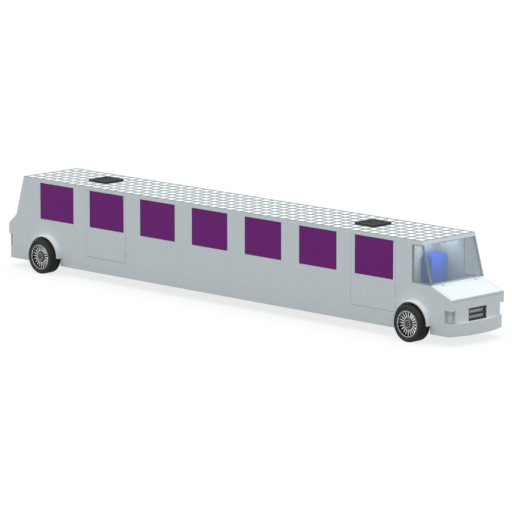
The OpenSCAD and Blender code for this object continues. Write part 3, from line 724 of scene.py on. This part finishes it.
@dataclass
class Wheel:
    """A tyre with tread and moulded sidewalls on its spoked rim, with the wheel nuts."""

    place: str
    steps: int = 180
    groove_at: Sequence[float] = (-0.085, -0.03, 0.03, 0.085)
    groove_w: float = 0.011
    groove_d: float = 0.008
    groove_taper: float = 0.7
    shoulder: float = 0.04
    shoulder_steps: int = 4
    bead_in: float = 0.012
    ring_at: Sequence[float] = (0.292, 0.318)
    ring_w: float = 0.004
    ring_h: float = 0.002
    cut_every: int = 4
    cut_d: float = 0.006
    crown_slack: float = 0.002
    tread_depths: float = 1.3
    nuts: int = 10
    nut_circle: float = 0.068
    nut_r: float = 0.011
    nut_h: float = 0.016
    nut_taper: float = 0.8
    nut_sunk: float = 0.001
    nut_sharp_deg: float = 20.0
    hub_face: float = 0.12

    def __post_init__(self) -> None:
        """Reads the tyre's middle, radius, half width and bore from the frame."""
        low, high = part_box(f"tyre_{self.place}")
        self.middle = (low + high) / 2
        self.radius = (high.x - low.x) / 2
        self.half = (high.y - low.y) / 2
        self.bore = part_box(f"rim_{self.place}")[1].x - self.middle.x

    def build(self) -> None:
        """Builds the tyre and the nuts, and dresses the rim."""
        self.tyre()
        self.wheel_nuts()
        end = self.place.split("_")[0]
        axle = (self.middle.x, self.middle.z)
        wear(f"rim_{self.place}", replace(ALLOY, name=f"{ALLOY.name}_{end}", axle=axle))

    def section(self) -> list[tuple[float, float]]:
        """Works out one side-to-side outline of the tyre.

        Returns:
            Points of radius and distance from the middle plane, from bead to bead.
        """
        wall = self.half - self.ring_h
        half = [(self.bore, self.half - self.bead_in)]
        for at in self.ring_at:
            half += [(at - self.ring_w, wall), (at - self.ring_w / 2, self.half),
                     (at + self.ring_w / 2, self.half), (at + self.ring_w, wall)]
        for step in range(self.shoulder_steps + 1):
            turn = math.pi / 2 * step / self.shoulder_steps
            half.append((self.radius - self.shoulder * (1 - math.sin(turn)),
                         wall - self.shoulder * (1 - math.cos(turn))))
        edge, foot = self.groove_w / 2, self.groove_w / 2 * self.groove_taper
        floor = self.radius - self.groove_d
        tread = []
        for at in reversed(self.groove_at):
            tread += [(self.radius, at + edge), (floor, at + foot), (floor, at - foot),
                      (self.radius, at - edge)]
        return half + tread + [(r, -y) for r, y in reversed(half)]

    def tyre(self) -> None:
        """Spins the section round the axle and cuts cross grooves in the shoulder blocks."""
        bm = bmesh.new()
        points = [bm.verts.new(self.middle + Vector((0, y, r))) for r, y in self.section()]
        edges = [bm.edges.new(pair) for pair in zip(points, points[1:] + points[:1])]
        bmesh.ops.spin(bm, geom=points + edges, cent=self.middle, axis=(0, 1, 0), angle=math.tau,
                       steps=self.steps, use_merge=True)
        bmesh.ops.remove_doubles(bm, verts=bm.verts, dist=WELD)
        bmesh.ops.recalc_face_normals(bm, faces=bm.faces)
        self.cut_blocks(bm)
        tread_from = self.radius - self.tread_depths * self.groove_d
        for face in bm.faces:
            out = face.calc_center_median() - self.middle
            face.material_index = int(math.hypot(out.x, out.z) > tread_from)
        piece = publish(bm, f"tread_tyre_{self.place}", (SIDEWALL, TREAD), f"wheel_{self.place}")
        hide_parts(f"tyre_{self.place}")

    def cut_blocks(self, bm: BMesh) -> None:
        """Sinks every few faces of the outer ribs, which leaves rows of tread blocks.

        Args:
            bm: The spun tyre.
        """
        limit = max(self.groove_at) + self.groove_w / 2
        chosen = []
        for face in bm.faces:
            out = face.calc_center_median() - self.middle
            step = round(math.atan2(out.z, out.x) / math.tau * self.steps - 0.5)
            on_tread = math.hypot(out.x, out.z) > self.radius - self.crown_slack
            if on_tread and abs(out.y) > limit and step % self.cut_every == 0:
                chosen.append(face)
        sunk = bmesh.ops.extrude_discrete_faces(bm, faces=chosen)["faces"]
        for vert in {v for face in sunk for v in face.verts}:
            out = vert.co - self.middle
            vert.co -= Vector((out.x, 0, out.z)).normalized() * self.cut_d

    def wheel_nuts(self) -> None:
        """Sets a ring of six-sided nuts on the face of the hub."""
        side = math.copysign(1, self.middle.y)
        bm = bmesh.new()
        for k in range(self.nuts):
            turn = Matrix.Rotation(math.tau * k / self.nuts, 4, "Y")
            spot = self.middle + turn @ Vector((self.nut_circle, 0, 0))
            spot.y += side * (self.hub_face + self.nut_h / 2 - self.nut_sunk)
            lay = Matrix.Translation(spot) @ Matrix.Rotation(-side * math.pi / 2, 4, "X")
            bmesh.ops.create_cone(bm, cap_ends=True, segments=6, radius1=self.nut_r,
                                  radius2=self.nut_r * self.nut_taper, depth=self.nut_h, matrix=lay)
        publish(bm, f"wheel_nuts_{self.place}", (REFLECTOR,), f"wheel_{self.place}",
                self.nut_sharp_deg)


@dataclass
class WindowSeals:
    """Thin rubber frames round the side windows, on the panel or door that holds each pane."""

    width: float = 0.008
    proud: float = 0.002
    thick: float = 0.004
    side_pane_t: float = 0.1

    def build(self) -> None:
        """Makes one seal for each side pane."""
        for side in ("right", "left"):
            for end in ("front", "rear"):
                door = f"door_{end}_{side}"
                self.seal([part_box(f"door_glass_{end}_{side}")], door, f"seal_{door}")
        panes = [box for box in islands("cabin_glass") if box[1].y - box[0].y < self.side_pane_t]
        self.seal([p for p in panes if p[0].y < 0], "body", "seals_fixed_right")
        self.seal([p for p in panes if p[0].y > 0], "body", "seals_fixed_left")

    def seal(self, panes: list[Box], body: str, name: str) -> None:
        """Frames the panes of one body as one piece.

        Args:
            panes: Corners of each pane.
            body: CAD body that carries them.
            name: Name of the piece.
        """
        bm = bmesh.new()
        for low, high in panes:
            side = math.copysign(1, low.y)
            face_y = side * (max(abs(low.y), abs(high.y)) + self.proud)
            middle = Vector(((low.x + high.x) / 2, face_y, (low.z + high.z) / 2))
            size = (high.x - low.x + self.width, high.z - low.z + self.width)
            lay = (Matrix.Translation(middle) @ Matrix.Rotation(side * -math.pi / 2, 4, "X")
                   @ Matrix.Diagonal((size[0], size[1], 1.0, 1.0)))
            verts = bmesh.ops.create_grid(bm, x_segments=1, y_segments=1, size=0.5,
                                          matrix=lay)["verts"]
            pane = [f for f in bm.faces if all(v in verts for v in f.verts)]
            bmesh.ops.inset_region(bm, faces=pane, thickness=self.width, use_boundary=True,
                                   use_even_offset=True)
            bmesh.ops.delete(bm, geom=pane, context="FACES")
        bmesh.ops.solidify(bm, geom=list(bm.faces), thickness=self.thick)
        bmesh.ops.recalc_face_normals(bm, faces=bm.faces)
        publish(bm, name, (SEAL_RUBBER,), body)


@dataclass
class EngineTop:
    """Ribbed valve covers, an air cleaner and belt pulleys on the plain engine block."""

    rear_in: float = 0.1
    front_in: float = 0.04
    cover_y: tuple[float, float] = (0.17, 0.3)
    cover_h: float = 0.05
    cover_round: float = 0.014
    cover_steps: int = 3
    ribs: int = 5
    rib_in: float = 0.03
    rib_w: float = 0.008
    rib_h: float = 0.006
    rib_round: float = 0.002
    cleaner_r: float = 0.15
    cleaner_h: float = 0.07
    cleaner_round: float = 0.005
    lid_r: float = 0.138
    pan_h: float = 0.0525
    stud_r: float = 0.02
    stud_h: float = 0.012
    pulley_t: float = 0.035
    pulley_round: float = 0.006
    pulley_spots: Sequence[tuple[float, float, float]] = (
        (0.0, 0.5, 0.1), (0.19, 0.68, 0.06), (-0.19, 0.66, 0.075))
    sunk: float = 0.002

    def __post_init__(self) -> None:
        """Reads the space on top of the block, and its front, from the frame."""
        low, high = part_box("engine")
        self.rear = low.x + self.rear_in
        self.front = high.x - self.front_in
        self.top = high.z - self.sunk
        self.nose = high.x - self.sunk

    def build(self) -> None:
        """Builds the three pieces on the block."""
        self.covers()
        self.cleaner()
        self.pulleys()

    def covers(self) -> None:
        """Casts one cover for each bank of cylinders, with ribs along it."""
        bm = bmesh.new()
        roof = self.top + self.cover_h
        for side in (-1, 1):
            near, far = sorted(side * y for y in self.cover_y)
            box_into(bm, Vector((self.rear, near, self.top)), Vector((self.front, far, roof)),
                     self.cover_round, self.cover_steps)
            pitch = (far - near) / (self.ribs + 1)
            for k in range(1, self.ribs + 1):
                y = near + k * pitch
                low = Vector((self.rear + self.rib_in, y - self.rib_w / 2, roof - self.sunk))
                high = Vector((self.front - self.rib_in, y + self.rib_w / 2, roof + self.rib_h))
                box_into(bm, low, high, self.rib_round)
        publish(bm, "valve_covers", (ANODISED,), "body")

    def cleaner(self) -> None:
        """Stacks a round pan, its lid and the stud of its wing nut."""
        bm = bmesh.new()
        foot = Vector(((self.rear + self.front) / 2, 0, self.top))
        discs = ((self.cleaner_r, 0.0, self.pan_h), (self.lid_r, self.pan_h, self.cleaner_h),
                 (self.stud_r, self.cleaner_h, self.cleaner_h + self.stud_h))
        for radius, start, end in discs:
            middle = foot + Vector((0, 0, (start + end) / 2))
            disc_into(bm, middle, radius, end - start + self.sunk, Matrix.Identity(4),
                      self.cleaner_round)
        publish(bm, "air_cleaner", (CHASSIS_ENAMEL,), "body")

    def pulleys(self) -> None:
        """Sets the belt pulleys on the front of the block."""
        bm = bmesh.new()
        for y, z, radius in self.pulley_spots:
            middle = Vector((self.nose + self.pulley_t / 2, y, z))
            disc_into(bm, middle, radius, self.pulley_t, Matrix.Rotation(math.pi / 2, 4, "Y"),
                      self.pulley_round)
        publish(bm, "belt_pulleys", (FORGED_STEEL,), "body")


@dataclass
class LampUnits:
    """Sealed pressed-glass lamps that stand behind the headlamp lenses."""

    wall: float = 0.012
    flange: float = 0.015
    lens_t: float = 0.008
    around: int = 32
    upright: int = 20

    def build(self) -> None:
        """Builds one tall rounded lamp in the free space of each headlamp."""
        bm = bmesh.new()
        lenses = islands("headlamp_lenses")
        clear = Vector((self.wall,) * 3)
        for low, high in islands("headlamps"):
            side = math.copysign(1, low.y)
            lens_low, lens_high = next(box for box in lenses if box[0].y * side > 0)
            outer = max(abs(lens_low.y), abs(lens_high.y)) - self.lens_t
            inner = min(abs(low.y), abs(high.y)) + self.flange
            room_low = Vector((low.x + self.flange, inner, low.z)) + clear
            room_high = Vector((lens_high.x - self.lens_t, outer, lens_high.z)) - clear
            middle, size = (room_low + room_high) / 2, room_high - room_low
            middle.y *= side
            lay = Matrix.Translation(middle) @ Matrix.Diagonal((*(size / 2), 1.0))
            bmesh.ops.create_uvsphere(bm, u_segments=self.around, v_segments=self.upright,
                                      radius=1.0, matrix=lay)
        publish(bm, "headlamp_units", (PRESSED_GLASS,), "body", ALL_SMOOTH)


@dataclass
class BootSill:
    """Moulded sill that closes the step between the rear bumper and the boot floor."""

    back: float = 0.043
    rise: float = 0.07
    ends: float = 0.145
    gap: float = 0.001
    edge: float = 0.006
    ribs: int = 3
    rib_w: float = 0.006
    rib_h: float = 0.003
    rib_in: float = 0.03
    sunk: float = 0.001

    def build(self) -> None:
        """Builds the sill on top of the rear bumper."""
        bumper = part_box("rear_bumper")[1]
        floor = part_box("floor_pan")[0]
        half = bumper.y - self.ends
        low = Vector((bumper.x - self.back, -half, bumper.z))
        high = Vector((floor.x - self.gap, half, bumper.z + self.rise))
        bm = bmesh.new()
        box_into(bm, low, high, self.edge)
        pitch = (high.x - low.x) / (self.ribs + 1)
        for k in range(1, self.ribs + 1):
            x = low.x + k * pitch
            box_into(bm, Vector((x - self.rib_w / 2, -half + self.rib_in, high.z - self.sunk)),
                     Vector((x + self.rib_w / 2, half - self.rib_in, high.z + self.rib_h)))
        publish(bm, "boot_sill", (BLACK_NYLON,), "body")


# Upholstery


@dataclass
class Cushion:
    """A stuffed leather cushion, blown up from a rounded box by a cloth simulation."""

    low: Vector
    high: Vector
    corner: float = 0.03
    corner_steps: int = 3
    fold_angle: float = 0.6
    voxel: float = 0.012
    slack: float = 0.012
    swell: float = 0.02
    pressure: float = 4.0
    frames: int = 20
    top_round: float = 0.0
    top_steps: int = 8
    channels: Sequence[float] = ()
    channel_d: float = 0.008
    channel_w: float = 0.012

    def mesh(self, name: str) -> bpy.types.Mesh:
        """Makes the cushion's mesh.

        Args:
            name: Name of the mesh.

        Returns:
            The swollen mesh with its sewn channels, in the row frame.
        """
        bm = bmesh.new()
        inset = Vector((self.slack,) * 3)
        box_into(bm, self.low + inset, self.high - inset)
        if self.top_round:
            round_edges(bm, self.top_edges(bm), self.top_round, self.top_steps)
        folds = [e for e in bm.edges if e.calc_face_angle(0) > self.fold_angle]
        round_edges(bm, folds, self.corner, self.corner_steps)
        shape = bpy.data.meshes.new(name)
        bm.to_mesh(shape)
        bm.free()
        holder = bpy.data.objects.new(name, shape)
        bpy.context.scene.collection.objects.link(holder)
        remesh = holder.modifiers.new("skin", "REMESH")
        remesh.mode = "VOXEL"
        remesh.voxel_size = self.voxel
        skin = baked(holder)
        holder.modifiers.clear()
        holder.data = skin
        self.inflate(holder)
        self.sew(skin)
        bpy.data.objects.remove(holder)
        return skin

    def top_edges(self, bm: BMesh) -> list[bmesh.types.BMEdge]:
        """Finds the upper edges that run from front to back.

        Args:
            bm: The plain box.

        Returns:
            Its two edges at the upper corners.
        """
        height = self.high.z - 2 * self.slack
        top = [e for e in bm.edges if all(v.co.z > height for v in e.verts)]
        return [e for e in top if abs(e.verts[0].co.x - e.verts[1].co.x) > self.slack]

    def inflate(self, holder: bpy.types.Object) -> None:
        """Blows the skin up a little, and limits how far any point moves.

        Args:
            holder: The object that holds the skin. Its mesh is changed in place.
        """
        cloth = holder.modifiers.new("leather", "CLOTH")
        cloth.settings.use_pressure = True
        cloth.settings.uniform_pressure_force = self.pressure
        cloth.settings.effector_weights.gravity = 0
        cloth.point_cache.frame_end = self.frames
        scene = bpy.context.scene
        for step in range(1, self.frames + 1):
            scene.frame_set(step)
        swollen = baked(holder)
        holder.modifiers.clear()
        scene.frame_set(1)
        for vert, grown in zip(holder.data.vertices, swollen.vertices):
            move = grown.co - vert.co
            if move.length > self.swell:
                move *= self.swell / move.length
            vert.co += move
        bpy.data.meshes.remove(swollen)

    def sew(self, skin: bpy.types.Mesh) -> None:
        """Presses the sewn channels in and keeps the skin inside its space.

        Args:
            skin: The mesh to change.
        """
        for vert in skin.vertices:
            for line in self.channels:
                away = (vert.co.y - line) / self.channel_w
                vert.co -= vert.normal * self.channel_d * math.exp(-away * away)
            for axis in range(3):
                vert.co[axis] = min(max(vert.co[axis], self.low[axis]), self.high[axis])
        skin.update()


def baked(holder: bpy.types.Object) -> bpy.types.Mesh:
    """Returns a copy of an object's mesh with its modifiers applied."""
    graph = bpy.context.evaluated_depsgraph_get()
    return bpy.data.meshes.new_from_object(holder.evaluated_get(graph))


def gather(meshes: Sequence[tuple[bpy.types.Mesh, Vector]]) -> BMesh:
    """Joins moved copies of meshes into one bmesh.

    Args:
        meshes: Each mesh and how far its copy moves.

    Returns:
        The joined shape.
    """
    bm = bmesh.new()
    for mesh, step in meshes:
        old = set(bm.verts)
        bm.from_mesh(mesh)
        bmesh.ops.translate(bm, verts=[v for v in bm.verts if v not in old], vec=step)
    return bm


@dataclass
class DriverSeat:
    """Thick padded back, seat cushion and moulded pedestal of the driver's seat."""

    back_t: float = 0.28
    back_slack: float = 0.006
    back_swell: float = 0.012
    top_round: float = 0.11
    seat_low: float = 0.6
    cushion_t: float = 0.12
    cushion_channel_d: float = 0.006
    overlap: float = 0.004
    corner: float = 0.03
    voxel: float = 0.009
    pedestal_w: float = 0.36
    pedestal_back: float = 0.04
    pedestal_front: float = 0.15
    pedestal_up: float = 0.01
    pedestal_round: float = 0.012

    def build(self) -> None:
        """Builds the three pieces in the space of the CAD seat."""
        low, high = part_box("driver_seat")
        front = low.x + self.back_t
        third = (high.y - low.y) / 3
        seams = (low.y + third, high.y - third)
        back = Cushion(Vector((low.x, low.y, self.seat_low)), Vector((front, high.y, high.z)),
                       self.corner, voxel=self.voxel, slack=self.back_slack, swell=self.back_swell,
                       top_round=self.top_round, channels=seams)
        piece = self.cushion(back, "driver_seat_back")
        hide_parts("driver_seat")
        seat = Cushion(Vector((front - self.overlap, low.y, self.seat_low)),
                       Vector((high.x, high.y, self.seat_low + self.cushion_t)), self.corner,
                       voxel=self.voxel, channels=seams, channel_d=self.cushion_channel_d)
        self.cushion(seat, "driver_seat_cushion")
        self.pedestal(low, front, (low.y + high.y) / 2)

    def cushion(self, shape: Cushion, name: str) -> bpy.types.Object:
        """Makes one padded piece of the seat.

        Args:
            shape: Its sizes.
            name: Name of the piece.

        Returns:
            The new object.
        """
        bm = gather([(shape.mesh(name), Vector())])
        piece = publish(bm, name, (BLUE_HIDE,), "body", ALL_SMOOTH)
        return piece

    def pedestal(self, foot: Vector, front: float, middle_y: float) -> None:
        """Stands the cushions on a moulded pedestal.

        Args:
            foot: Lowest corner of the seat.
            front: Where the back ends, along X.
            middle_y: Middle of the seat.
        """
        half = self.pedestal_w / 2
        low = Vector((foot.x + self.pedestal_back, middle_y - half, foot.z))
        high = Vector((front + self.pedestal_front, middle_y + half, self.seat_low + self.pedestal_up))
        bm = bmesh.new()
        box_into(bm, low, high, self.pedestal_round)
        publish(bm, "driver_seat_pedestal", (GREY_ABS,), "body")


class Axis(IntEnum):
    """The way that a bench runs, as a vector's index."""

    X = 0
    Y = 1


@dataclass
class Lounge:
    """The bench along the left wall and the one across the rear, with separate cushions."""

    seat_h: float = 0.4
    back_t: float = 0.12
    pad_t: float = 0.16
    pad_corner: float = 0.025
    pad_voxel: float = 0.016
    pad_slack: float = 0.01
    pad_swell: float = 0.018
    plinth_in: float = 0.03
    plinth_round: float = 0.008
    side_places: int = 6
    rear_places: int = 2
    seam: float = 0.004

    def build(self) -> None:
        """Builds both benches in the space of the CAD benches."""
        rear, side = islands("lounge_seats")
        pads = self.bench("side_bench", side, Axis.X, self.side_places, Vector((0, -1, 0)))
        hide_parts("lounge_seats")
        self.bench("rear_bench", rear, Axis.Y, self.rear_places, Vector((1, 0, 0)))

    def bench(self, name: str, space: Box, along: Axis, places: int,
              ahead: Vector) -> bpy.types.Object:
        """Builds one bench: a plinth, a row of seat pads and a row of back pads.

        Args:
            name: Start of its pieces' names.
            space: Corners of the CAD bench.
            along: Axis that its places follow.
            places: How many people it seats.
            ahead: The way that a sitter looks.

        Returns:
            The row of seat pads.
        """
        low, high = space
        deep = 1 - along
        pitch = (high[along] - low[along]) / places
        seat_top = low.z + self.seat_h
        pad_low = seat_top - self.pad_t
        wall, edge = (high[deep], low[deep]) if ahead[deep] < 0 else (low[deep], high[deep])
        face = wall + ahead[deep] * self.back_t
        seat = self.span(along, low[along], pitch, (face, edge), (pad_low, seat_top))
        back = self.span(along, low[along], pitch, (wall, face), (pad_low, high.z))
        step = Vector((0, 0, 0))
        step[along] = pitch
        pads = self.row(f"{name}_seats", seat, places, step)
        self.row(f"{name}_backs", back, places, step)
        length = high[along] - low[along] - 2 * self.plinth_in
        foot = self.span(along, low[along] + self.plinth_in, length,
                         (wall, edge - ahead[deep] * self.plinth_in), (low.z, pad_low))
        bm = bmesh.new()
        box_into(bm, *foot, self.plinth_round)
        publish(bm, f"{name}_plinth", (GREY_ABS,), "body")
        return pads

    def span(self, along: Axis, start: float, length: float, depth: tuple[float, float],
             height: tuple[float, float]) -> Box:
        """Works out the corners of a box that is given along, across and up.

        Args:
            along: Axis that the bench follows.
            start: Where the box starts on it.
            length: How far it goes.
            depth: Its two ends across the bench.
            height: Its two ends up.

        Returns:
            The lowest and the highest corner.
        """
        low, high = Vector((0, 0, min(height))), Vector((0, 0, max(height)))
        low[along], high[along] = start, start + length
        low[1 - along], high[1 - along] = min(depth), max(depth)
        return low, high

    def row(self, name: str, first: Box, places: int, step: Vector) -> bpy.types.Object:
        """Makes a row of like pads from one simulated pad.

        Args:
            name: Name of the piece.
            first: Corners of the first pad.
            places: Number of pads.
            step: From one pad to the next.

        Returns:
            The new object.
        """
        shift = step.normalized() * self.seam
        shape = Cushion(first[0] + shift, first[1] - shift, self.pad_corner, voxel=self.pad_voxel,
                        slack=self.pad_slack, swell=self.pad_swell)
        pad = shape.mesh(name)
        bm = gather([(pad, step * k) for k in range(places)])
        piece = publish(bm, name, (BLUE_HIDE,), "body", ALL_SMOOTH)
        return piece


def main() -> None:
    """Builds the studio, dresses the solids and adds the modelled pieces."""
    logging.basicConfig(level=logging.INFO, format="%(message)s")
    Studio().build()
    Shell().dress()
    for place in ("front_right", "front_left", "rear_right", "rear_left"):
        Wheel(place).build()
    WindowSeals().build()
    EngineTop().build()
    LampUnits().build()
    BootSill().build()
    DriverSeat().build()
    Lounge().build()


if __name__ == "__main__":
    main()
